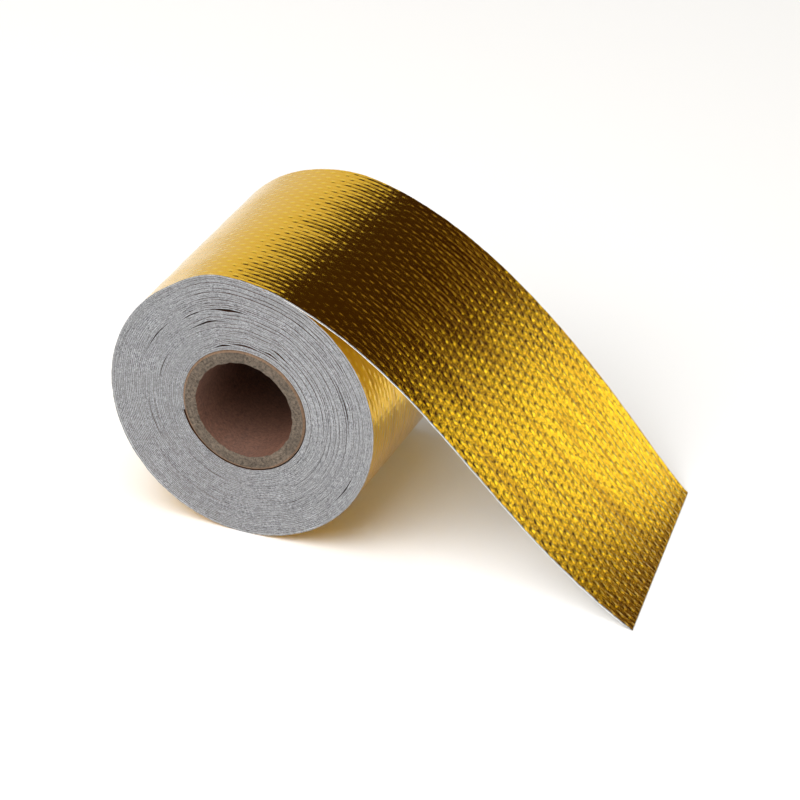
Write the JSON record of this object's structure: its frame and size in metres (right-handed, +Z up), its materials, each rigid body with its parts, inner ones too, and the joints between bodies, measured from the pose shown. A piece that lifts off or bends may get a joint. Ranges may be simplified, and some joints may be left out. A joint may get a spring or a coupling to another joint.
{
  "type": "gold aluminium foil tape roll",
  "caption": "Roll of gold foil-faced glass-cloth tape on a cardboard core, lying on its side with its free end run down to the floor.",
  "frame": {"origin": "middle of the bottom of the whole object's box, on the floor that it lies on", "axes": "+X from the roll towards the free end of the tape, +Y along the roll's axis, +Z up"},
  "size_m": [0.1082, 0.0524, 0.0556],
  "materials": {
    "foil": "polished gold foil, embossed by the glass cloth below it",
    "liner": "matt white release paper",
    "core": "brown kraft board"
  },
  "bodies": {
    "root": {"foil_tape": "foil", "release_liner": "liner", "cardboard_core": "core"}
  },
  "joints": []
}
